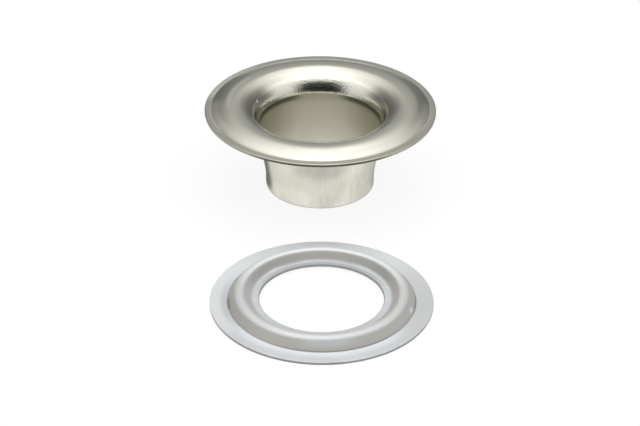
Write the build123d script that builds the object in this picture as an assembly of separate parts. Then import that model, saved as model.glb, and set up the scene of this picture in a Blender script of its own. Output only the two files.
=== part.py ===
from build123d import *
import math
import os

# A two-piece grommet for cloth: a drawn eyelet, and the pressed washer that it is clinched into.
# Millimetres, +Z up. The eyelet stands on the end of its barrel, with its axis on Z and the
# floor at Z = 0. The washer lies flat in front of it, on the same floor.
# Each piece is one sheet of metal turned about an upright axis. Its section is drawn as the side
# of the sheet that shows from above, from the hole outwards, and gets its thickness behind that.

# Sheets
eyelet_sheet = 0.30
washer_sheet = 0.28

# Eyelet: inside face of the barrel and neck
bore_radius = 5.20
straight_height = 0.90
flare_radius = 8.00
flare_slope = 80.1
barrel_end_radius = 0.26

# Eyelet: throat and upper face of the flange
neck_radius = 0.60
throat_slope = 72.0
throat_radius = 4.80
shoulder_slope = 56.0
shoulder_radius = 0.75
dome_slope = 30.6
dome_radius = 3.40
outer_dome_width = 2.24
outer_dome_drop = 0.43
crease_height = 8.58
lip_width = 0.64
lip_slope = 3.0
rim_edge_radius = 0.07

# Washer: upper face
hole_clearance = 0.37
inner_lip_width = 0.43
inner_lip_lift = 0.23
bead_rise = 1.07
bead_foot_radius = 0.60
bead_inner_slope = 46.0
bead_round_radius = 0.70
bead_outer_slope = 52.5
brim_width = 1.65
washer_edge_radius = 0.06

# Place of the washer beside the eyelet
washer_gap = 0.4841
washer_shift = 0.24


def arc_rise(radius, low_slope, high_slope):
    """Height that an arc climbs while its slope changes between two angles in degrees."""
    return radius * (math.cos(math.radians(low_slope)) - math.cos(math.radians(high_slope)))


def slope_length(rise, slope):
    """Length of a straight stretch that climbs by rise at a slope in degrees."""
    return rise / math.sin(math.radians(slope))


def eyelet_face():
    """Inside of the barrel and neck, then throat, dome and lip, from the floor up and outwards."""
    bends = (
        (neck_radius, flare_slope, throat_slope),
        (throat_radius, throat_slope, shoulder_slope),
        (shoulder_radius, shoulder_slope, dome_slope),
        (dome_radius, dome_slope, 0.0),
    )
    bends_rise = sum(arc_rise(radius, low, high) for radius, high, low in bends)
    neck_height = crease_height + outer_dome_drop - bends_rise
    with BuildLine() as face:
        barrel = Line((bore_radius, 0), (bore_radius, straight_height))
        flare = JernArc(barrel @ 1, barrel % 1, flare_radius, flare_slope - 90)
        neck_rise = neck_height - (flare @ 1).Y
        last = PolarLine(flare @ 1, slope_length(neck_rise, flare_slope), flare_slope)
        for radius, high, low in bends:
            last = JernArc(last @ 1, last % 1, radius, low - high)
        crease = last @ 1 + Vector(outer_dome_width, -outer_dome_drop)
        TangentArc(last @ 1, crease, tangent=last % 1)
        PolarLine(crease, lip_width, -lip_slope)
    return face.line


def washer_face():
    """Top of the inner lip, the bead and the brim, from the hole outwards."""
    hole_edge = (
        bore_radius + eyelet_sheet + hole_clearance,
        washer_sheet + inner_lip_lift,
    )
    foot_rise = arc_rise(bead_foot_radius, 0, bead_inner_slope)
    inner_round_rise = arc_rise(bead_round_radius, 0, bead_inner_slope)
    outer_round_rise = arc_rise(bead_round_radius, 0, bead_outer_slope)
    inner_climb = bead_rise - inner_lip_lift - foot_rise - inner_round_rise
    outer_fall = bead_rise - outer_round_rise
    with BuildLine() as face:
        lip = PolarLine(hole_edge, inner_lip_width, 0)
        foot = JernArc(lip @ 1, lip % 1, bead_foot_radius, bead_inner_slope)
        climb = PolarLine(foot @ 1, slope_length(inner_climb, bead_inner_slope), bead_inner_slope)
        over = -(bead_inner_slope + bead_outer_slope)
        bead = JernArc(climb @ 1, climb % 1, bead_round_radius, over)
        side = PolarLine(bead @ 1, slope_length(outer_fall, bead_outer_slope), -bead_outer_slope)
        PolarLine(side @ 1, brim_width, 0)
    return face.line


def sheet_section(face, sheet):
    """Closed section of a sheet whose upper or inner face is the given line."""
    return make_face(offset(face, sheet, kind=Kind.ARC, side=Side.RIGHT))


def round_corner(section, corner, radius):
    """Section with the corner nearest to a point rounded."""
    return fillet(section.vertices().sort_by_distance(corner)[0], radius)


def turned(section):
    """Solid made by turning a section, drawn as radius and height, about Z."""
    return revolve(Plane.XZ * section, axis=Axis.Z)


def make_eyelet():
    """Eyelet: barrel, neck and domed flange drawn from one sheet."""
    face = eyelet_face()
    section = sheet_section(face, eyelet_sheet)
    section = round_corner(section, (bore_radius + eyelet_sheet, 0), barrel_end_radius)
    section = round_corner(section, face @ 1, rim_edge_radius)
    return turned(section)


def make_washer():
    """Washer about its own axis: raised bead between an inner lip and a flat brim."""
    face = washer_face()
    section = sheet_section(face, washer_sheet)
    section = round_corner(section, face @ 1, washer_edge_radius)
    section = round_corner(section, face @ 0, washer_edge_radius)
    return turned(section)


def washer_centre():
    """Axis of the washer on the floor, in front of the eyelet's rim."""
    reach = (eyelet_face() @ 1).X + washer_gap + (washer_face() @ 1).X
    return Pos(washer_shift, -reach, 0)


parts = {
    "eyelet": make_eyelet(),
    "washer": washer_centre() * make_washer(),
}

os.makedirs("parts", exist_ok=True)
for node, solid in parts.items():
    solid.label = node
    export_step(solid, f"parts/{node}.step")
    size = solid.bounding_box().size
    print(f"{node}: {size.X:.2f} x {size.Y:.2f} x {size.Z:.2f} mm, {solid.volume:.2f} mm3")
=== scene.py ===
"""A two-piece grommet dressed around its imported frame: a nickel-plated eyelet and its zinc-plated washer.

The sizes in the classes are millimetres and degrees. Meshes are built in metres, in the frame's own axes.
"""

from __future__ import annotations

import logging
import math
from dataclasses import dataclass, replace
from enum import Enum

import bmesh
import bpy
from mathutils import Matrix, Vector

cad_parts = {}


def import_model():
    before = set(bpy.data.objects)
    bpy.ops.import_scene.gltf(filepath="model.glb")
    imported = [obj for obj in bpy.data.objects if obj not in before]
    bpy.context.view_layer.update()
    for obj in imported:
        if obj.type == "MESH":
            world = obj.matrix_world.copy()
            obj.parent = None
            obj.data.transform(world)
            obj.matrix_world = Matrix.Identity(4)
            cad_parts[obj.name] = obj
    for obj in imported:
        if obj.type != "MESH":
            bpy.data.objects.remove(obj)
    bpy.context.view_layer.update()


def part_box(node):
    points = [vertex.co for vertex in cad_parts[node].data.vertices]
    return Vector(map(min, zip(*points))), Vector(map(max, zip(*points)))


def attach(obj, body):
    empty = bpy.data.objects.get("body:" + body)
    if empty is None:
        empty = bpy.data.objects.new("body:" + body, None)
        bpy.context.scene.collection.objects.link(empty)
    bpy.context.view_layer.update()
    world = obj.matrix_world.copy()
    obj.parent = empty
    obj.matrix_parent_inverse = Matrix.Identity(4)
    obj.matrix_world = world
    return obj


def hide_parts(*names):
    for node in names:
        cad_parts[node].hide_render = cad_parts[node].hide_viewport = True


Span = tuple[float, float]
Color = tuple[float, float, float]

LOG = logging.getLogger("grommet")
MM = 0.001
WHITE = (1.0, 1.0, 1.0, 1.0)

# Tones of the nickel, from light to dark, with painted highlights and painted shade among them
# Painted highlight: bright reflections painted on the polished dome and lip
HIGHLIGHT_NICKEL = (0.86, 0.855, 0.76)
NICKEL = (0.74, 0.735, 0.645)
DULL_NICKEL = (0.69, 0.685, 0.60)
LIP_NICKEL = (0.66, 0.655, 0.57)
# Painted shadow under the flange on the barrel's front; it also darkens the barrel's foot
DIM_NICKEL = (0.50, 0.49, 0.43)
# Painted dark reflections in wedges on the polished dome and lip
DARK_REFLECTION_NICKEL = (0.48, 0.475, 0.42)
# Painted shade along the brink of the throat in front
BRINK_SHADE_NICKEL = (0.38, 0.37, 0.33)
# Painted dark reflection at each side of the throat
SIDE_REFLECTION_NICKEL = (0.34, 0.33, 0.28)
# Painted shade in the bore and on the lip's front
SHADE_NICKEL = (0.30, 0.285, 0.235)
# Painted shade in a dark line just under the neck at each side
NECK_SHADE_NICKEL = (0.13, 0.125, 0.105)

# Tones of the zinc, from light to dark, with painted light and painted shade among them
# Painted light on the brim in front and at the back, and a painted highlight on the bead's back; also a pale
# mark beside the crease
BRIGHT_ZINC = (0.72, 0.745, 0.765)
ZINC = (0.60, 0.625, 0.64)
WARM_ZINC = (0.60, 0.595, 0.56)
DULL_ZINC = (0.54, 0.56, 0.57)
# Painted shade beside the bead at the left, and on the bead's outer slope in front
BLUE_SHADE_ZINC = (0.50, 0.52, 0.545)
# Painted shade on both slopes of the bead
SLOPE_SHADE_ZINC = (0.395, 0.375, 0.335)
# Painted shade in the crease at the bead's outer foot and at its inner foot behind
CREASE_SHADE_ZINC = (0.2, 0.195, 0.19)


class Zone(Enum):
    """Stretches of a sheet's section that carry one finish each."""

    BORE = "bore"
    FACE = "face"
    EDGE = "edge"
    BACK = "back"


class SectionPen:
    """Draws a section in the XZ plane as one open chain of edges, with lines and tangent arcs."""

    def __init__(self, start: tuple[float, float], heading: float) -> None:
        """Puts the pen down.

        Args:
            start: radius and height of the first point, in millimetres.
            heading: direction of travel in degrees, 0 outwards and 90 up.
        """
        self.mesh = bmesh.new()
        self.station = self.mesh.verts.layers.float.new("station")
        self.heading = math.radians(heading)
        self.travelled = 0.0
        self.zones: list[tuple[float, Zone]] = []
        self.tip = self.mesh.verts.new((start[0] * MM, 0.0, start[1] * MM))

    def enter(self, zone: Zone) -> None:
        """Starts a zone at the pen's place."""
        self.zones.append((self.travelled, zone))

    def line(self, length: float, steps: int) -> None:
        """Draws a straight stretch.

        Args:
            length: length in millimetres.
            steps: how many edges it is cut into.
        """
        step = Vector((math.cos(self.heading), 0.0, math.sin(self.heading))) * (length / steps * MM)
        for _ in range(steps):
            made = bmesh.ops.extrude_vert_indiv(self.mesh, verts=[self.tip])
            self.tip = made["verts"][0]
            bmesh.ops.translate(self.mesh, verts=[self.tip], vec=step)
            self._mark(length / steps)

    def bend(self, radius: float, turn: float, steps: int) -> None:
        """Draws an arc tangent to the last stretch.

        Args:
            radius: radius in millimetres.
            turn: change of heading in degrees, positive to the left.
            steps: how many edges it is cut into.
        """
        angle = math.radians(turn)
        side = math.copysign(math.pi / 2, turn)
        to_centre = self.heading + side
        centre = self.tip.co + Vector((math.cos(to_centre), 0.0, math.sin(to_centre))) * radius * MM
        for _ in range(steps):
            made = bmesh.ops.spin(
                self.mesh,
                geom=[self.tip],
                cent=centre,
                axis=(0.0, -1.0, 0.0),
                angle=angle / steps,
                steps=1,
            )
            self.tip = next(part for part in made["geom_last"] if isinstance(part, bmesh.types.BMVert))
            self._mark(abs(angle) / steps * radius)
        self.heading += angle

    def _mark(self, length: float) -> None:
        """Adds to the way travelled, and keeps it on the new point."""
        self.travelled += length
        self.tip[self.station] = self.travelled

    def zone_at(self, travelled: float) -> Zone:
        """Zone that holds a place along the section."""
        return [zone for start, zone in self.zones if start <= travelled][-1]


@dataclass(frozen=True)
class Stroke:
    """One stretch of a sheet's face: a straight run, or a bend if it turns.

    Attributes:
        zone: zone of the face that it belongs to.
        length: length of a straight run.
        radius: radius of a bend on the face side.
        turn: turn of a bend, positive to the left.
        steps: how many edges it is cut into.
    """

    zone: Zone
    length: float = 0.0
    radius: float = 0.0
    turn: float = 0.0
    steps: int = 1


@dataclass(frozen=True)
class Sheet:
    """A sheet of even thickness, bent along its face's strokes, with rounded ends.

    Attributes:
        thickness: thickness of the sheet.
        start: radius and height of the face's first point.
        heading: direction of the face's first stroke.
        strokes: the face, from the first edge to the last.
        first_rounds: corner radii of the first edge, on the back and on the face.
        last_rounds: corner radii of the last edge, on the face and on the back.
        turns: how many steps the full turn about Z takes.
        corner_steps: how many edges each rounded corner takes.
        edge_steps: how many edges the flat of each cut edge takes.
        weld: distance at which points are merged.
    """

    thickness: float
    start: tuple[float, float]
    heading: float
    strokes: tuple[Stroke, ...]
    first_rounds: tuple[float, float]
    last_rounds: tuple[float, float]
    turns: int = 384
    corner_steps: int = 5
    edge_steps: int = 2
    weld: float = 0.0001

    def mesh(self) -> tuple[bmesh.types.BMesh, list[Zone]]:
        """Builds the closed sheet.

        Returns:
            The mesh about its own axis, and the zones in the order of its material slots.
        """
        along = math.radians(self.heading)
        inset = Vector((math.cos(along), math.sin(along))) * self.first_rounds[1]
        pen = SectionPen((self.start[0] + inset.x, self.start[1] + inset.y), self.heading)
        self._draw_face(pen)
        self._turn_edge(pen, self.last_rounds)
        self._draw_back(pen)
        self._turn_edge(pen, self.first_rounds)
        zones = list(dict.fromkeys(zone for _, zone in pen.zones))
        mesh = pen.mesh
        bmesh.ops.spin(
            mesh,
            geom=mesh.verts[:] + mesh.edges[:],
            cent=(0.0, 0.0, 0.0),
            axis=(0.0, 0.0, 1.0),
            angle=math.tau,
            steps=self.turns,
            use_merge=True,
        )
        for face in mesh.faces:
            middle = sum(vert[pen.station] for vert in face.verts) / len(face.verts)
            face.material_index = zones.index(pen.zone_at(middle))
            face.smooth = True
        bmesh.ops.remove_doubles(mesh, verts=mesh.verts[:], dist=self.weld * MM)
        bmesh.ops.recalc_face_normals(mesh, faces=mesh.faces[:])
        return mesh, zones

    def _draw_face(self, pen: SectionPen) -> None:
        """Draws the face, short of the corners at both of its ends."""
        last = len(self.strokes) - 1
        for number, stroke in enumerate(self.strokes):
            if not pen.zones or pen.zones[-1][1] is not stroke.zone:
                pen.enter(stroke.zone)
            if stroke.turn:
                pen.bend(stroke.radius, stroke.turn, stroke.steps)
                continue
            length = stroke.length
            length -= self.first_rounds[1] if number == 0 else 0.0
            length -= self.last_rounds[0] if number == last else 0.0
            pen.line(length, stroke.steps)

    def _draw_back(self, pen: SectionPen) -> None:
        """Draws the back, which follows the face at the sheet's thickness."""
        pen.enter(Zone.BACK)
        last = len(self.strokes) - 1
        for number, stroke in reversed(list(enumerate(self.strokes))):
            if stroke.turn:
                away = math.copysign(self.thickness, stroke.turn)
                pen.bend(stroke.radius + away, -stroke.turn, stroke.steps)
                continue
            length = stroke.length
            length -= self.last_rounds[1] if number == last else 0.0
            length -= self.first_rounds[0] if number == 0 else 0.0
            pen.line(length, stroke.steps)

    def _turn_edge(self, pen: SectionPen, rounds: tuple[float, float]) -> None:
        """Draws a cut edge across the sheet, with a round at each corner."""
        pen.bend(rounds[0], -90.0, self.corner_steps)
        pen.enter(Zone.EDGE)
        pen.line(self.thickness - sum(rounds), self.edge_steps)
        pen.bend(rounds[1], -90.0, self.corner_steps)


def arc_rise(radius: float, low_slope: float, high_slope: float) -> float:
    """Height that an arc climbs while its slope changes between two angles in degrees."""
    return radius * (math.cos(math.radians(low_slope)) - math.cos(math.radians(high_slope)))


def settle(mesh: bmesh.types.BMesh, node: str) -> Vector:
    """Moves a turned mesh to its node's place, and trims it to the node's box.

    Args:
        mesh: the mesh about its own axis, on the floor.
        node: name of the node in the frame.

    Returns:
        The node's axis on the floor, in metres.
    """
    hair = 0.001 * MM
    low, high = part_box(node)
    centre = Vector(((low.x + high.x) / 2.0, (low.y + high.y) / 2.0, 0.0))
    reach = max(vert.co.xy.length for vert in mesh.verts)
    bottom = min(vert.co.z for vert in mesh.verts)
    top = max(vert.co.z for vert in mesh.verts)
    wide = (min(high.x - low.x, high.y - low.y) / 2.0 - hair) / reach
    tall = (high.z - low.z - 2.0 * hair) / (top - bottom)
    lift = Vector((0.0, 0.0, low.z + hair - bottom * tall))
    LOG.info("%s trimmed by %.5f, %.5f", node, wide, tall)
    bmesh.ops.scale(mesh, verts=mesh.verts[:], vec=(wide, wide, tall))
    bmesh.ops.translate(mesh, verts=mesh.verts[:], vec=centre + lift)
    return centre


def dressed_sheet(node: str, sheet: Sheet, finishes: dict[Zone, MetalFinish]) -> bpy.types.Object:
    """Makes a sheet with its finishes at a node's place.

    Args:
        node: name of the node in the frame.
        sheet: the sheet about its own axis.
        finishes: finish of each zone of the sheet.

    Returns:
        The linked object, named after the node.
    """
    mesh, zones = sheet.mesh()
    centre = settle(mesh, node)
    return piece_object(f"{node}_dressed", mesh, [finishes[zone].material(centre) for zone in zones])


def piece_object(
    name: str, mesh: bmesh.types.BMesh, materials: list[bpy.types.Material]
) -> bpy.types.Object:
    """Makes a scene object of a finished mesh.

    Args:
        name: name of the object.
        mesh: its mesh, in place, which is freed.
        materials: its materials, in the order of the mesh's indices.

    Returns:
        The linked object, at the origin.
    """
    data = bpy.data.meshes.new(name)
    mesh.to_mesh(data)
    mesh.free()
    for material in materials:
        data.materials.append(material)
    made = bpy.data.objects.new(name, data)
    bpy.context.scene.collection.objects.link(made)
    return made


class Term:
    """A node's output in shader arithmetic: each operator adds a Math node."""

    def __init__(self, bench: NodeBench, socket: bpy.types.NodeSocket) -> None:
        """Wraps a socket of the bench's node tree."""
        self.bench = bench
        self.socket = socket

    def __add__(self, other: Term | float) -> Term:
        """Sum."""
        return self.bench.math("ADD", self, other)

    def __radd__(self, other: float) -> Term:
        """Sum with a number on the left."""
        return self.bench.math("ADD", other, self)

    def __sub__(self, other: Term | float) -> Term:
        """Difference."""
        return self.bench.math("SUBTRACT", self, other)

    def __rsub__(self, other: float) -> Term:
        """Difference from a number on the left."""
        return self.bench.math("SUBTRACT", other, self)

    def __mul__(self, other: Term | float) -> Term:
        """Product."""
        return self.bench.math("MULTIPLY", self, other)

    def __rmul__(self, other: float) -> Term:
        """Product with a number on the left."""
        return self.bench.math("MULTIPLY", other, self)

    def __truediv__(self, other: Term | float) -> Term:
        """Quotient."""
        return self.bench.math("DIVIDE", self, other)

    def __rtruediv__(self, other: float) -> Term:
        """Quotient with a number above."""
        return self.bench.math("DIVIDE", other, self)

    def __pow__(self, other: Term | float) -> Term:
        """Power."""
        return self.bench.math("POWER", self, other)

    def __rpow__(self, other: float) -> Term:
        """Power of a number."""
        return self.bench.math("POWER", other, self)

    def step(self, low: float, high: float) -> Term:
        """Smooth step from 0 at low to 1 at high, or down where low is the larger."""
        return self.bench.remap(self, (low, high), (0.0, 1.0))


class NodeBench:
    """Adds nodes to one node tree."""

    def __init__(self, tree: bpy.types.NodeTree) -> None:
        """Clears a node tree and works on it."""
        self.tree = tree
        tree.nodes.clear()

    def add(self, kind: str, settings: dict | None = None, inputs: dict | None = None) -> bpy.types.Node:
        """Adds a node.

        Args:
            kind: the node's type.
            settings: its settings, made first.
            inputs: values or links of its sockets, by name or number.

        Returns:
            The node.
        """
        node = self.tree.nodes.new(kind)
        for name, value in (settings or {}).items():
            setattr(node, name, value)
        for key, value in (inputs or {}).items():
            self.feed(node.inputs[key], value)
        return node

    def feed(self, socket: bpy.types.NodeSocket, value: object) -> None:
        """Sets a socket's value, or links it to a term or an output."""
        source = value.socket if isinstance(value, Term) else value
        if isinstance(source, bpy.types.NodeSocket):
            self.tree.links.new(source, socket)
        else:
            socket.default_value = source

    def math(self, operation: str, *values: Term | float) -> Term:
        """Math node on terms and numbers."""
        node = self.add("ShaderNodeMath", {"operation": operation}, dict(enumerate(values)))
        return Term(self, node.outputs[0])

    def vector(self, operation: str, *values: object, scale: float = 1.0) -> bpy.types.NodeSocket:
        """Vector Math node's vector output."""
        inputs = dict(enumerate(values)) | ({"Scale": scale} if operation == "SCALE" else {})
        return self.add("ShaderNodeVectorMath", {"operation": operation}, inputs).outputs[0]

    def remap(self, value: Term, span: Span, to: Span) -> Term:
        """Smooth ramp of a term from one span to another."""
        inputs = {"Value": value, "To Min": to[0], "To Max": to[1]}
        if span[0] > span[1]:
            span = (span[1], span[0])
            inputs = {"Value": value, "To Min": to[1], "To Max": to[0]}
        inputs |= {"From Min": span[0], "From Max": span[1]}
        settings = {"interpolation_type": "SMOOTHSTEP"}
        return Term(self, self.add("ShaderNodeMapRange", settings, inputs).outputs[0])

    def mix(self, share: Term | float, first: object, second: object) -> bpy.types.NodeSocket:
        """Colour between two colours."""
        node = self.add("ShaderNodeMix", {"data_type": "RGBA"}, {"Factor": share})
        colors = {"A": first, "B": second}
        for socket in node.inputs:
            if socket.type == "RGBA":
                self.feed(socket, colors[socket.name])
        return next(socket for socket in node.outputs if socket.type == "RGBA")


class TurnedCoordinates:
    """Coordinates of a turned piece in millimetres: place, radius, height and direction about its axis."""

    def __init__(self, bench: NodeBench, centre: Vector) -> None:
        """Adds the coordinate nodes.

        Args:
            bench: bench of the material's tree.
            centre: the piece's axis on the floor, in metres.
        """
        place = bench.add("ShaderNodeTexCoord").outputs["Object"]
        moved = bench.vector("SUBTRACT", place, tuple(centre))
        self.bench = bench
        self.place = bench.vector("SCALE", moved, scale=1.0 / MM)
        split = bench.add("ShaderNodeSeparateXYZ", inputs={0: self.place})
        self.across = Term(bench, split.outputs[0])
        self.deep = Term(bench, split.outputs[1])
        self.height = Term(bench, split.outputs[2])
        self.radius = bench.math("SQRT", self.across * self.across + self.deep * self.deep)

    def polar(self, around: float, outwards: float, upwards: float) -> bpy.types.NodeSocket:
        """Vector for a pattern that follows the turned surface without a seam.

        Args:
            around: scale of the pattern about the axis.
            outwards: scale along the radius.
            upwards: scale along the axis.

        Returns:
            The vector's socket.
        """
        return self._turned(self.radius * outwards + around, self.height * upwards)

    def circling(self, around: float, outwards: float) -> bpy.types.NodeSocket:
        """Vector for a pattern of lines that run round the axis.

        Args:
            around: scale of the pattern about the axis.
            outwards: scale across the lines.

        Returns:
            The vector's socket.
        """
        return self._turned(around, (self.radius - self.height) * outwards)

    def _turned(self, reach: Term | float, rise: Term) -> bpy.types.NodeSocket:
        """Vector at a reach from the axis, in each place's own direction, and at a rise."""
        inputs = {0: self.across / self.radius * reach, 1: self.deep / self.radius * reach, 2: rise}
        return self.bench.add("ShaderNodeCombineXYZ", inputs=inputs).outputs[0]

    def noise(self, vector: bpy.types.NodeSocket, scale: float = 1.0, detail: float = 3.0) -> Term:
        """Noise of about 0 to 1 on a vector."""
        inputs = {"Vector": vector, "Scale": scale, "Detail": detail}
        node = self.bench.add("ShaderNodeTexNoise", {"noise_dimensions": "3D"}, inputs)
        return Term(self.bench, node.outputs[0])


class Along(Enum):
    """What a band of a finish is measured along."""

    RADIUS = "radius"
    HEIGHT = "height"


@dataclass(frozen=True)
class Sector:
    """Part of a band's turn about its piece's axis.

    Attributes:
        azimuth: direction of its middle in degrees from the front, positive to the right.
        full: half of the angle that is fully covered.
        end: half of the angle at which the cover has faded out.
    """

    azimuth: float
    full: float
    end: float

    def cover(self, at: TurnedCoordinates) -> Term:
        """Share of 0 to 1 at each place."""
        side = math.sin(math.radians(self.azimuth))
        front = -math.cos(math.radians(self.azimuth))
        facing = (at.across * side + at.deep * front) / at.radius
        return facing.step(math.cos(math.radians(self.end)), math.cos(math.radians(self.full)))


@dataclass(frozen=True)
class Band:
    """Band about a piece's axis with a tone, gloss and relief of its own.

    Attributes:
        rise: radii or heights between which it fades in.
        fall: radii or heights between which it fades out.
        color: its colour.
        roughness: its roughness.
        share: how far it covers the finish under it.
        relief: how strong its grain is beside the finish's own.
        wander: how far its edges wander.
        metallic: share of the mirror-like reflection, or None to keep the finish's own.
        along: what its limits are measured along.
        sector: the part of the turn that it takes, or None for all of it.
    """

    rise: Span
    fall: Span
    color: Color
    roughness: float = 0.5
    share: float = 1.0
    relief: float = 1.0
    wander: float = 0.0
    metallic: float | None = None
    along: Along = Along.RADIUS
    sector: Sector | None = None

    def cover(self, at: TurnedCoordinates, unrest: Term) -> Term:
        """Share of 0 to 1 at each place.

        Args:
            at: the piece's coordinates.
            unrest: noise about zero that moves the edges.

        Returns:
            The share.
        """
        reach = at.radius if self.along is Along.RADIUS else at.height
        if self.wander:
            reach = reach + unrest * self.wander
        share = reach.step(*self.rise) * reach.step(self.fall[1], self.fall[0])
        return share * self.sector.cover(at) if self.sector else share


def on_both_sides(band: Band) -> tuple[Band, Band]:
    """A band at the right of its piece, with its mirror image at the left before it."""
    left = replace(band.sector, azimuth=-band.sector.azimuth)
    return replace(band, sector=left), band


@dataclass(frozen=True)
class MetalFinish:
    """Plated metal whose tone and gloss wander a little over the surface.

    Attributes:
        name: name of the material.
        color: colour of the plating's reflection.
        stain: colour of its duller patches.
        roughness: least and largest roughness.
        grain: size of the finest grain.
        grain_depth: height of that grain.
        streaks: share of the streaks that run along the section.
        streak_count: how fine those streaks are.
        streak_length: how long they are.
        lines: share of the lines that run round the axis.
        line_drift: how soon a line changes on its way round.
        line_count: how close the lines lie.
        speckle: share of the finest grain in the tone.
        cloud_scale: how fine the broad patches are.
        contrast: noise at which a patch starts, and at which it is full.
        metallic: share of the mirror-like reflection.
        graze: how much of that reflection is left where it is seen edge-on.
        bands: bands with a look of their own, later ones over earlier ones.
    """

    name: str
    color: Color
    stain: Color
    roughness: Span
    grain: float
    grain_depth: float
    streaks: float
    streak_count: float = 22.0
    streak_length: float = 5.0
    lines: float = 0.0
    line_drift: float = 2.5
    line_count: float = 5.0
    speckle: float = 0.0
    cloud_scale: float = 0.35
    contrast: Span = (0.3, 0.72)
    metallic: float = 1.0
    graze: float = 1.0
    bands: tuple[Band, ...] = ()

    def material(self, centre: Vector) -> bpy.types.Material:
        """Builds the material about a piece's axis.

        Args:
            centre: the piece's axis on the floor, in metres.

        Returns:
            The material.
        """
        made = bpy.data.materials.new(self.name)
        made.use_nodes = True
        bench = NodeBench(made.node_tree)
        at = TurnedCoordinates(bench, centre)
        cloud = at.noise(at.place, self.cloud_scale)
        streak = self._streaks(at)
        grain = at.noise(at.place, 1.0 / self.grain, detail=1.0)
        patch = self._patches(at, cloud, streak, grain)
        paint = bench.mix(patch, (*self.color, 1.0), (*self.stain, 1.0))
        rough = bench.remap(patch, (0.0, 1.0), self.roughness)
        metallic: Term | float = self.metallic
        relief: Term | float = 1.0
        unrest = grain + cloud - 1.0
        for band in self.bands:
            cover = band.cover(at, unrest)
            share = cover * band.share
            paint = bench.mix(share, paint, (*band.color, 1.0))
            rough = rough + (band.roughness - rough) * share
            if band.metallic is not None:
                metallic = metallic + share * (band.metallic - metallic)
            if band.relief != 1.0:
                relief = relief + cover * (band.relief - 1.0)
        height = (grain * (1.0 - self.streaks) + streak * self.streaks) * relief
        bump = bench.add(
            "ShaderNodeBump",
            inputs={"Strength": 1.0, "Distance": self.grain_depth * MM, "Height": height},
        )
        surface = bench.add(
            "ShaderNodeBsdfPrincipled",
            inputs={
                "Base Color": paint,
                "Metallic": metallic,
                "Roughness": rough,
                "Specular Tint": (self.graze, self.graze, self.graze, 1.0),
                "Normal": bump.outputs[0],
            },
        )
        bench.add("ShaderNodeOutputMaterial", inputs={"Surface": surface.outputs[0]})
        return made

    def _streaks(self, at: TurnedCoordinates) -> Term:
        """Noise drawn out along the section, a little longer up the axis than along the radius."""
        outwards = 1.0 / self.streak_length
        rise_share = 0.8
        return at.noise(at.polar(self.streak_count, outwards, rise_share * outwards))

    def _patches(self, at: TurnedCoordinates, cloud: Term, streak: Term, grain: Term) -> Term:
        """Share of 0 to 1 of the duller patches at each place.

        Args:
            at: the piece's coordinates.
            cloud: noise of the broad patches.
            streak: noise of the streaks.
            grain: noise of the finest grain.

        Returns:
            The share.
        """
        middle = 0.5
        patch = cloud * (1.0 - self.streaks) + streak * self.streaks
        if self.lines:
            line = at.noise(at.circling(self.line_drift, self.line_count))
            patch = patch + (line - middle) * self.lines
        if self.speckle:
            patch = patch + (grain - middle) * self.speckle
        return patch.step(*self.contrast)


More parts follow.
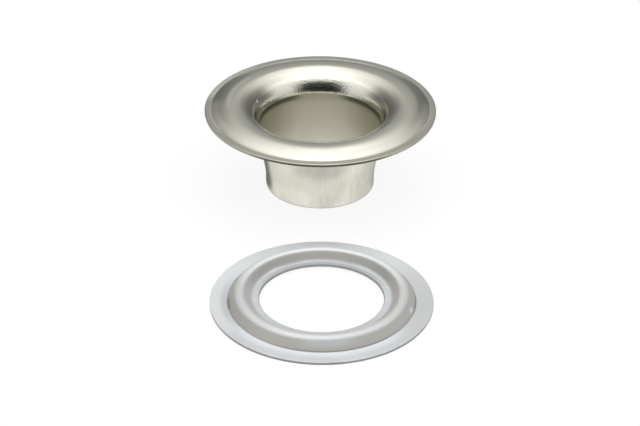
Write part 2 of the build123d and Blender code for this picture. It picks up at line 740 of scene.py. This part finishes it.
@dataclass(frozen=True)
class Eyelet:
    """The drawn eyelet: barrel, flaring neck, domed flange and flat lip, in one sheet."""

    sheet: float = 0.30
    bore_radius: float = 5.20
    straight_height: float = 0.90
    flare_radius: float = 8.0
    flare_slope: float = 80.1
    neck_radius: float = 0.60
    throat_slope: float = 72.0
    throat_radius: float = 4.80
    shoulder_slope: float = 56.0
    shoulder_radius: float = 0.75
    dome_slope: float = 30.6
    dome_radius: float = 3.40
    outer_dome_width: float = 2.24
    outer_dome_drop: float = 0.43
    crease_height: float = 8.58
    crease_round: float = 0.06
    lip_width: float = 0.64
    lip_slope: float = 3.0
    barrel_end_radius: float = 0.26
    rim_edge_radius: float = 0.07
    bore_edge_radius: float = 0.02

    def face(self) -> Sheet:
        """Strokes of the inside of the barrel, throat, dome and lip."""
        bends = (
            (self.neck_radius, self.throat_slope, self.flare_slope, 3),
            (self.throat_radius, self.shoulder_slope, self.throat_slope, 9),
            (self.shoulder_radius, self.dome_slope, self.shoulder_slope, 5),
            (self.dome_radius, 0.0, self.dome_slope, 14),
        )
        crest = self.crease_height + self.outer_dome_drop
        neck_height = crest - sum(arc_rise(radius, low, high) for radius, low, high, _ in bends)
        flare_lift = self.flare_radius * math.cos(math.radians(self.flare_slope))
        cone = (neck_height - self.straight_height - flare_lift) / math.sin(math.radians(self.flare_slope))
        outer_radius = (self.outer_dome_width**2 + self.outer_dome_drop**2) / (2.0 * self.outer_dome_drop)
        outer_turn = math.degrees(math.asin(self.outer_dome_width / outer_radius))
        crease_turn = outer_turn - self.lip_slope
        corner = self.crease_round * math.tan(math.radians(crease_turn / 2.0))
        outer_turn -= math.degrees(corner / outer_radius)
        bore, face = Zone.BORE, Zone.FACE
        strokes = (
            Stroke(bore, length=self.straight_height, steps=6),
            Stroke(bore, radius=self.flare_radius, turn=self.flare_slope - 90.0, steps=8),
            Stroke(bore, length=cone, steps=22),
            *(
                Stroke(face, radius=radius, turn=low - high, steps=steps)
                for radius, low, high, steps in bends
            ),
            Stroke(face, radius=outer_radius, turn=-outer_turn, steps=18),
            Stroke(face, radius=self.crease_round, turn=crease_turn, steps=3),
            Stroke(face, length=self.lip_width - corner, steps=5),
        )
        return Sheet(
            thickness=self.sheet,
            start=(self.bore_radius, 0.0),
            heading=90.0,
            strokes=strokes,
            first_rounds=(self.barrel_end_radius, self.bore_edge_radius),
            last_rounds=(self.rim_edge_radius, self.rim_edge_radius),
        )

    def finishes(self) -> dict[Zone, MetalFinish]:
        """Finish of each zone: nickel, polished on the flange, duller in the bore and on the back."""
        everywhere, edge_shade = ((0.0, 1.0), (20.0, 21.0)), (0.11, 0.105, 0.09)
        return {
            Zone.BORE: MetalFinish(
                name="drawn_bore",
                color=(0.74, 0.725, 0.63),
                stain=(0.695, 0.675, 0.585),
                roughness=(0.38, 0.44),
                grain=0.50, grain_depth=0.001, streaks=0.1,
                bands=self._bore_bands(),
            ),
            Zone.FACE: MetalFinish(
                name="polished_nickel",
                color=NICKEL,
                stain=DULL_NICKEL,
                roughness=(0.15, 0.20),
                grain=0.16, grain_depth=0.004,
                streaks=0.5, streak_count=34.0, streak_length=0.45,
                bands=(*self._throat_bands(), *self._dome_and_lip_bands()),
            ),
            Zone.EDGE: MetalFinish(
                name="cut_nickel",
                color=(0.42, 0.41, 0.36),
                stain=(0.34, 0.33, 0.29),
                roughness=(0.35, 0.45),
                grain=0.08, grain_depth=0.01, streaks=0.3,
                # Painted shade on the cut edges in front
                bands=(Band(*everywhere, edge_shade, 0.4, sector=Sector(0, 24, 40)),),
            ),
            Zone.BACK: MetalFinish(
                name="drawn_nickel",
                color=(0.84, 0.83, 0.735),
                stain=(0.66, 0.65, 0.565),
                roughness=(0.26, 0.42),
                grain=0.12, grain_depth=0.02, speckle=0.25,
                streaks=0.35, streak_count=9.0, streak_length=1.3,
                graze=0.5,
                bands=self._barrel_bands(),
            ),
        }

    def _bore_bands(self) -> tuple[Band, ...]:
        """Painted shade in the bore, by height: at its mouth, at its sides, and a darker brow of it far back
        at each side.
        """
        height, top, brow_shade = Along.HEIGHT, (9.0, 9.1), (0.10, 0.095, 0.07)
        low, high, brow = Sector(93, 34, 72), Sector(95, 40, 70), Sector(118, 30, 48)
        return (
            Band((5.9, 6.9), top, SHADE_NICKEL, 0.25, share=0.3, along=height),
            *on_both_sides(Band((2.0, 4.5), top, SHADE_NICKEL, 0.4, share=0.32, along=height, sector=low)),
            *on_both_sides(Band((6.25, 7.0), top, SHADE_NICKEL, 0.25, share=0.75, along=height, sector=high)),
            *on_both_sides(Band((6.45, 6.72), top, brow_shade, 0.4, share=0.75, along=height, sector=brow)),
        )

    def _throat_bands(self) -> tuple[Band, ...]:
        """Rougher ring, a painted dark reflection and a painted dark line of shade at each side, painted
        shade on the brink in front, and one pale speck.
        """
        back, side, neck_shade_side = Sector(180, 24, 44), Sector(98, 16, 36), Sector(98, 18, 42)
        front, spot, pale = Sector(0, 50, 80), Sector(-107.5, 0.4, 1.2), (0.8, 0.8, 0.75)
        return (
            Band((0.0, 1.0), (6.9, 7.3), NICKEL, 0.13, share=0.9, relief=7.0),
            Band((6.45, 6.6), (6.9, 7.2), NICKEL, 0.13, share=0.0, relief=4.0, sector=back),
            *on_both_sides(
                Band((6.36, 6.50), (7.1, 7.8), SIDE_REFLECTION_NICKEL, 0.25, share=0.75, wander=0.12, sector=side),
            ),
            *on_both_sides(Band((6.32, 6.42), (6.60, 6.78), NECK_SHADE_NICKEL, 0.3, share=0.6, sector=neck_shade_side)),
            Band((7.0, 7.12), (7.5, 8.0), BRINK_SHADE_NICKEL, 0.2, share=0.6, sector=front),
            Band((6.58, 6.66), (6.70, 6.80), pale, 0.4, metallic=0.3, sector=spot),
        )

    def _dome_and_lip_bands(self) -> tuple[Band, ...]:
        """The lip's own darker tone from about 11 mm, painted bright and dark reflections in wedges on the
        lip and on the dome inside it, and painted shade on the lip's front.
        """
        past_rim = (12.0, 13.0)
        return (
            Band((10.9, 11.0), past_rim, LIP_NICKEL, 0.25, share=0.6),
            Band((10.9, 11.0), past_rim, HIGHLIGHT_NICKEL, 0.25, share=0.9, sector=Sector(-120, 16, 30)),
            Band((10.8, 11.0), past_rim, DARK_REFLECTION_NICKEL, 0.25, share=0.75, sector=Sector(-84, 8, 22)),
            Band((10.8, 11.0), past_rim, DARK_REFLECTION_NICKEL, 0.25, share=0.6, sector=Sector(88, 12, 30)),
            Band((10.7, 11.0), past_rim, SHADE_NICKEL, 0.3, share=0.62, sector=Sector(0, 50, 85)),
            Band((9.4, 9.65), (10.85, 11.0), DARK_REFLECTION_NICKEL, 0.2, share=0.8, sector=Sector(-112, 12, 24)),
            Band((8.9, 9.15), (9.4, 9.65), HIGHLIGHT_NICKEL, 0.17, share=0.8, sector=Sector(-108, 14, 26)),
            Band((9.6, 9.9), (10.85, 11.0), DARK_REFLECTION_NICKEL, 0.2, share=0.7, sector=Sector(106, 14, 28)),
            Band((9.9, 10.5), (11.0, 11.1), HIGHLIGHT_NICKEL, 0.2, share=0.9, sector=Sector(-80, 8, 20)),
            Band((9.9, 10.5), (11.0, 11.1), HIGHLIGHT_NICKEL, 0.2, share=0.7, sector=Sector(78, 8, 20)),
            Band((7.6, 8.2), (9.6, 10.2), HIGHLIGHT_NICKEL, 0.15, share=0.7, sector=Sector(38, 14, 34)),
        )

    def _barrel_bands(self) -> tuple[Band, ...]:
        """Tones of the barrel's outside, by height and direction: darker in the front middle and at the foot,
        a painted highlight at the front left, painted shadow under the flange in front, and painted dark
        reflections down both sides, darker at the left.
        """
        height, above = Along.HEIGHT, (20.0, 21.0)
        dull, gleam = (0.70, 0.69, 0.60), (0.95, 0.94, 0.84)
        dark_side_reflection, faint_side_reflection = (0.115, 0.11, 0.09), (0.45, 0.44, 0.39)
        front, middle, beside = Sector(0, 12, 34), Sector(-4, 10, 32), Sector(-46, 8, 22)
        left, right = Sector(-84, 13, 28), Sector(84, 8, 16)
        return (
            Band((0.3, 3.3), (3.3, 4.6), dull, 0.34, share=0.65, wander=1.2, along=height, sector=middle),
            # Painted highlight at the front left
            Band((0.5, 1.5), above, gleam, 0.3, share=0.3, wander=0.6, along=height, sector=beside),
            # Painted shadow under the flange, in front
            Band((3.0, 4.4), above, DIM_NICKEL, 0.3, share=0.75, wander=0.8, along=height, sector=front),
            # Painted dark reflections down both sides, darker at the left
            Band((0.2, 0.9), above, dark_side_reflection, 0.3, share=0.85, along=height, sector=left),
            Band((0.2, 0.9), above, faint_side_reflection, 0.3, share=0.3, along=height, sector=right),
            # Darker towards the barrel's bottom edge
            Band((-1.0, 0.0), (0.12, 0.4), DIM_NICKEL, 0.3, share=0.5, along=height),
        )

    def build(self) -> bpy.types.Object:
        """Builds and dresses the eyelet in the frame's place.

        Returns:
            The piece, riding on the root body.
        """
        made = dressed_sheet("eyelet", self.face(), self.finishes())
        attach(made, "root")
        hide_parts("eyelet")
        return made


@dataclass(frozen=True)
class Washer:
    """The pressed washer: inner lip, raised bead and flat brim, in one sheet."""

    sheet: float = 0.28
    hole_radius: float = 5.87
    inner_lip_width: float = 0.43
    inner_lip_lift: float = 0.23
    bead_rise: float = 1.07
    bead_foot_radius: float = 0.60
    bead_inner_slope: float = 46.0
    bead_round_radius: float = 0.70
    bead_outer_slope: float = 52.5
    brim_width: float = 1.65
    bead_crease_radius: float = 0.02
    upper_edge_radius: float = 0.06
    lower_edge_radius: float = 0.02

    def face(self) -> Sheet:
        """Strokes of the inner lip, the bead and the brim."""
        foot_rise = arc_rise(self.bead_foot_radius, 0.0, self.bead_inner_slope)
        inner_round_rise = arc_rise(self.bead_round_radius, 0.0, self.bead_inner_slope)
        outer_round_rise = arc_rise(self.bead_round_radius, 0.0, self.bead_outer_slope)
        inner_climb = self.bead_rise - self.inner_lip_lift - foot_rise - inner_round_rise
        outer_fall = self.bead_rise - outer_round_rise
        climb = inner_climb / math.sin(math.radians(self.bead_inner_slope))
        fall = outer_fall / math.sin(math.radians(self.bead_outer_slope))
        face = Zone.FACE
        over = self.bead_inner_slope + self.bead_outer_slope
        strokes = (
            Stroke(face, length=self.inner_lip_width, steps=4),
            Stroke(face, radius=self.bead_foot_radius, turn=self.bead_inner_slope, steps=6),
            Stroke(face, length=climb, steps=5),
            Stroke(face, radius=self.bead_round_radius, turn=-over, steps=12),
            Stroke(face, length=fall, steps=7),
            Stroke(face, radius=self.bead_crease_radius, turn=self.bead_outer_slope, steps=3),
            Stroke(face, length=self.brim_width, steps=10),
        )
        return Sheet(
            thickness=self.sheet,
            start=(self.hole_radius, self.sheet + self.inner_lip_lift),
            heading=0.0,
            strokes=strokes,
            first_rounds=(self.lower_edge_radius, self.upper_edge_radius),
            last_rounds=(self.upper_edge_radius, self.lower_edge_radius),
        )

    def finishes(self) -> dict[Zone, MetalFinish]:
        """Finish of each zone: dull zinc, with painted light and shade in bands on its face, and painted
        shade on the bead's slopes.
        """
        return {
            Zone.FACE: MetalFinish(
                name="zinc_plate",
                color=ZINC,
                stain=DULL_ZINC,
                roughness=(0.5, 0.6),
                grain=0.10, grain_depth=0.012, speckle=0.6,
                streaks=0.2, lines=0.35,
                metallic=0.45,
                bands=(
                    *self._brim_bands(),
                    *self._bead_bands(),
                    *self._inner_lip_bands(),
                    *self._crease_bands(),
                ),
            ),
            Zone.EDGE: MetalFinish(
                name="cut_zinc",
                color=(0.32, 0.32, 0.32),
                stain=(0.26, 0.26, 0.25),
                roughness=(0.4, 0.5),
                grain=0.08, grain_depth=0.01, streaks=0.3,
                metallic=0.7,
            ),
            Zone.BACK: MetalFinish(
                name="zinc_plate_under",
                color=ZINC,
                stain=DULL_ZINC,
                roughness=(0.4, 0.5),
                grain=0.10, grain_depth=0.01, streaks=0.3,
                metallic=0.6,
            ),
        }

    def _brim_bands(self) -> tuple[Band, ...]:
        """Painted light and shade on the flat brim, which starts at a radius of 8.85 mm: painted light in
        front, at the back and on its outer part at the left, and painted shade beside the bead at the left
        and over the right side.
        """
        front, back, right = Sector(0, 35, 75), Sector(180, 50, 90), Sector(90, 20, 50)
        left, past_rim = Sector(-98, 22, 46), (11.0, 12.0)
        pale_zinc, grey_zinc = (0.68, 0.70, 0.69), (0.52, 0.525, 0.51)
        return (
            Band((8.86, 8.92), (9.0, 10.0), BRIGHT_ZINC, share=0.9, sector=front),
            Band((9.2, 9.8), past_rim, pale_zinc, share=0.8, sector=left),
            Band((8.86, 8.9), (9.1, 9.6), BLUE_SHADE_ZINC, share=0.8, sector=left),
            Band((8.86, 8.95), past_rim, BRIGHT_ZINC, share=0.95, sector=back),
            Band((8.86, 8.95), past_rim, grey_zinc, share=0.6, sector=right),
        )

    def _bead_bands(self) -> tuple[Band, ...]:
        """Tones of the bead: its warm top with a painted highlight at the back, then painted shade on its
        inner slope, deepest at the back and lighter at the left, with painted shade in its foot behind, then
        painted shade on its outer slope, lighter at the right and bluer in front.
        """
        back, right, left = Sector(180, 50, 90), Sector(90, 20, 50), Sector(-92, 24, 48)
        far_side, near_side = Sector(182, 16, 44), Sector(4, 6, 22)
        shaded_zinc = (0.22, 0.215, 0.195)
        return (
            Band((7.0, 7.35), (7.9, 8.15), WARM_ZINC, share=0.6, wander=0.15),
            Band((7.2, 7.45), (7.9, 8.15), BRIGHT_ZINC, share=0.9, sector=back),
            Band((6.45, 6.75), (7.15, 7.4), SLOPE_SHADE_ZINC, share=0.6, wander=0.12),
            Band((6.45, 6.75), (7.1, 7.4), ZINC, share=0.4, wander=0.12, sector=left),
            Band((6.5, 6.8), (7.1, 7.35), shaded_zinc, share=0.6, wander=0.14, sector=back),
            Band((6.4, 6.5), (6.6, 6.85), CREASE_SHADE_ZINC, share=0.5, wander=0.14, sector=far_side),
            Band((8.05, 8.25), (8.8, 8.83), SLOPE_SHADE_ZINC, share=0.85, wander=0.08),
            Band((8.1, 8.3), (8.75, 8.83), ZINC, share=0.3, wander=0.1, sector=right),
            Band((7.9, 8.1), (8.35, 8.75), BLUE_SHADE_ZINC, share=0.7, wander=0.15, sector=near_side),
        )

    def _inner_lip_bands(self) -> tuple[Band, ...]:
        """Greyer stretches of the lip round the hole, at the back and in front."""
        front, back = Sector(0, 35, 75), Sector(180, 50, 90)
        grey_zinc, steel_blue = (0.42, 0.435, 0.45), (0.42, 0.44, 0.47)
        return (
            Band((5.8, 5.85), (6.2, 6.45), grey_zinc, share=0.7, sector=back),
            Band((5.8, 5.85), (6.2, 6.35), steel_blue, share=0.5, sector=front),
        )

    def _crease_bands(self) -> tuple[Band, ...]:
        """Painted shade in the crease at the bead's foot, deeper in front and at the right, and a mark at
        each side of it: wider painted shade at the left and a pale mark at the right.
        """
        front, right = Sector(10, 20, 46), Sector(84, 6, 13)
        left_mark, right_mark = Sector(-83.5, 2.5, 8), Sector(75.5, 1, 3.8)
        return (
            Band((8.72, 8.80), (8.84, 8.92), CREASE_SHADE_ZINC, 0.6, share=0.4, wander=0.03),
            Band((8.72, 8.80), (8.84, 8.92), CREASE_SHADE_ZINC, 0.6, share=0.6, wander=0.03, sector=front),
            Band((8.70, 8.80), (8.84, 8.94), CREASE_SHADE_ZINC, 0.6, share=0.7, wander=0.03, sector=right),
            Band((8.55, 8.66), (8.84, 8.92), CREASE_SHADE_ZINC, 0.6, share=0.6, wander=0.06, sector=left_mark),
            Band((8.42, 8.56), (8.70, 8.80), BRIGHT_ZINC, share=0.8, wander=0.12, sector=right_mark),
        )

    def build(self) -> bpy.types.Object:
        """Builds and dresses the washer in the frame's place.

        Returns:
            The piece, riding on the root body.
        """
        made = dressed_sheet("washer", self.face(), self.finishes())
        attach(made, "root")
        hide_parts("washer")
        return made


@dataclass(frozen=True)
class Room:
    """Surroundings that the metal mirrors: light in front and at the sides, dim behind, a dark doorway.

    Facings are cosines of the angle from the front, 1 in front and -1 behind, and elevations are sines. Each
    pair of them gives where something starts and where it is full.
    """

    back_wall_light: float = 0.21
    ceiling_light: float = 1.4
    ceiling_elevations: Span = (0.47, 1.0)
    haze_light: float = 0.04
    haze_elevations: Span = (0.15, 0.45)
    glow_light: float = 0.3
    wide_glow_facings: Span = (-0.82, -1.0)
    wide_glow_elevations: Span = (0.4, 0.72)
    narrow_glow_facings: Span = (-0.992, -1.0)
    narrow_glow_elevations: Span = (0.54, 0.64)
    strip_light: float = 0.06
    strip_gain: float = 0.11
    strip_facings: Span = (-0.965, -0.998)
    strip_gain_elevations: Span = (0.0, 0.35)
    strip_top_elevations: Span = (0.9, 0.6)
    side_wall_light: float = 0.54
    side_wall_gain: float = 1.1
    side_wall_facings: Span = (-0.78, 0.08)
    most_light: float = 1.55
    doorway_half_size: tuple[float, float] = (0.74, 0.63)
    doorway_edge: Span = (1.5, 0.2)
    doorway_facings: Span = (0.0, 0.2)
    doorway_squareness: float = 4.0
    doorway_dark: float = 0.98

    def build(self) -> bpy.types.World:
        """Builds the world, which the camera itself sees as plain white.

        Returns:
            The world.
        """
        world = bpy.data.worlds.new("studio")
        world.use_nodes = True
        bench = NodeBench(world.node_tree)
        direction = bench.add("ShaderNodeTexCoord").outputs["Generated"]
        split = bench.add("ShaderNodeSeparateXYZ", inputs={0: direction})
        across, deep, up = (Term(bench, split.outputs[number]) for number in range(3))
        level_reach = bench.math("SQRT", across * across + deep * deep)
        front = deep * -1.0 / level_reach
        side = across / level_reach
        beside = up * self.side_wall_gain + self.side_wall_light
        behind = self._back_wall(front, up)
        walls = behind + (beside - behind) * front.step(*self.side_wall_facings)
        walls = bench.math("MINIMUM", walls, self.most_light)
        level = walls * (1.0 - self._doorway(front, side, up) * self.doorway_dark)
        seen = Term(bench, bench.add("ShaderNodeLightPath").outputs["Is Camera Ray"])
        level = level + (1.0 - level) * seen
        shine = bench.add("ShaderNodeBackground", inputs={"Color": WHITE, "Strength": level})
        bench.add("ShaderNodeOutputWorld", inputs={"Surface": shine.outputs[0]})
        return world

    def _back_wall(self, front: Term, up: Term) -> Term:
        """Light of the back wall: dim, with haze higher up, a strip up its middle and two glows above it."""
        ceiling_gain = self.ceiling_light - self.back_wall_light
        dim = up.step(*self.ceiling_elevations) * ceiling_gain + self.back_wall_light
        haze = up.step(*self.haze_elevations) * self.haze_light
        wide_glow = front.step(*self.wide_glow_facings) * up.step(*self.wide_glow_elevations)
        narrow_glow = front.step(*self.narrow_glow_facings) * up.step(*self.narrow_glow_elevations)
        strip = front.step(*self.strip_facings) * up.step(*self.strip_top_elevations)
        strip_light = up.step(*self.strip_gain_elevations) * self.strip_gain + self.strip_light
        return dim + haze + (wide_glow + narrow_glow) * self.glow_light + strip * strip_light

    def _doorway(self, front: Term, side: Term, up: Term) -> Term:
        """Share of 0 to 1 of the doorway, a rounded rectangle, in each direction."""
        half_width, half_height = self.doorway_half_size
        power = self.doorway_squareness
        outline = (side / half_width) ** power + (up / half_height) ** power
        return outline.step(*self.doorway_edge) * front.step(*self.doorway_facings)


@dataclass(frozen=True)
class Studio:
    """Floor, round overhead light, room and camera."""

    lens: float = 130.4
    sensor: float = 36.0
    near_clip: float = 10.0
    target: tuple[float, float, float] = (0.037, -6.193, 0.0)
    distance: float = 231.2
    elevation: float = 30.577
    roll: float = 0.374
    softbox_height: float = 1200.0
    softbox_width: float = 900.0
    softbox_radiance: float = 1.55
    floor_radius: float = 2500.0
    floor_sides: int = 96
    floor_middle_radius: float = 60.0
    floor_fade_radius: float = 130.0
    floor_far_tone: float = 0.4
    floor_near_tone: float = 0.9
    floor_glow: float = 0.88

    def build(self) -> None:
        """Makes the floor, the light, the room and the camera."""
        self._make_floor()
        self._make_softbox()
        self._make_camera()
        bpy.context.scene.world = Room().build()
        bpy.context.scene.view_settings.view_transform = "Standard"

    def _make_floor(self) -> None:
        """Makes the pale floor disc, whose pale colour metal reflects too."""
        mesh = bmesh.new()
        radius = self.floor_radius * MM
        bmesh.ops.create_circle(mesh, cap_ends=True, radius=radius, segments=self.floor_sides)
        floor = piece_object("floor", mesh, [self._floor_material()])

    def _floor_material(self) -> bpy.types.Material:
        """Pale floor that stays light to the camera and in reflections, and keeps the shadows."""
        made = bpy.data.materials.new("pale_floor")
        made.use_nodes = True
        bench = NodeBench(made.node_tree)
        place = bench.add("ShaderNodeTexCoord").outputs["Object"]
        length = bench.add("ShaderNodeVectorMath", {"operation": "LENGTH"}, {0: place})
        far = Term(bench, length.outputs["Value"])
        near = far.step(self.floor_fade_radius * MM, self.floor_middle_radius * MM)
        path = bench.add("ShaderNodeLightPath")
        rays = ("Is Camera Ray", "Is Glossy Ray", "Is Transmission Ray")
        camera, glossy, through = (Term(bench, path.outputs[ray]) for ray in rays)
        seen = bench.math("MINIMUM", camera + (glossy + through) * near, 1.0)
        tones = (self.floor_far_tone, self.floor_near_tone)
        paint = bench.mix(near, *((tone, tone, tone, 1.0) for tone in tones))
        plain = bench.add("ShaderNodeBsdfDiffuse", inputs={"Color": paint})
        glow = bench.add("ShaderNodeEmission", inputs={"Color": WHITE, "Strength": 1.0})
        inputs = {0: seen * self.floor_glow, 1: plain.outputs[0], 2: glow.outputs[0]}
        surface = bench.add("ShaderNodeMixShader", inputs=inputs)
        bench.add("ShaderNodeOutputMaterial", inputs={"Surface": surface.outputs[0]})
        return made

    def _make_softbox(self) -> None:
        """Makes the round softbox overhead."""
        lamp = bpy.data.lights.new("overhead_softbox", "AREA")
        lamp.shape = "DISK"
        lamp.size = self.softbox_width * MM
        area = math.pi / 4.0 * lamp.size**2
        lamp.energy = self.softbox_radiance * math.pi * area
        made = bpy.data.objects.new("overhead_softbox", lamp)
        made.location = (0.0, 0.0, self.softbox_height * MM)
        bpy.context.scene.collection.objects.link(made)

    def _make_camera(self) -> None:
        """Puts the camera where the photograph was taken from."""
        tilt = math.radians(self.elevation)
        turn = math.radians(self.roll)
        back = Vector((0.0, -math.cos(tilt), math.sin(tilt)))
        right = Vector((1.0, 0.0, 0.0))
        up = back.cross(right)
        rolled_right = right * math.cos(turn) + up * math.sin(turn)
        rolled_up = up * math.cos(turn) - right * math.sin(turn)
        data = bpy.data.cameras.new("camera")
        data.lens = self.lens
        data.sensor_width = self.sensor
        data.clip_start = self.near_clip * MM
        made = bpy.data.objects.new("camera", data)
        spot = (Vector(self.target) + back * self.distance) * MM
        facing = Matrix((rolled_right, rolled_up, back)).transposed().to_4x4()
        made.matrix_world = Matrix.Translation(spot) @ facing
        bpy.context.scene.collection.objects.link(made)
        bpy.context.scene.camera = made


def main() -> None:
    """Loads the frame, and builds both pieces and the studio."""
    logging.basicConfig(level=logging.INFO, format="%(name)s: %(message)s")
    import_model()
    for maker in (Eyelet(), Washer()):
        made = maker.build()
        LOG.info("%s: %d faces", made.name, len(made.data.polygons))
    Studio().build()


if __name__ == "__main__":
    main()
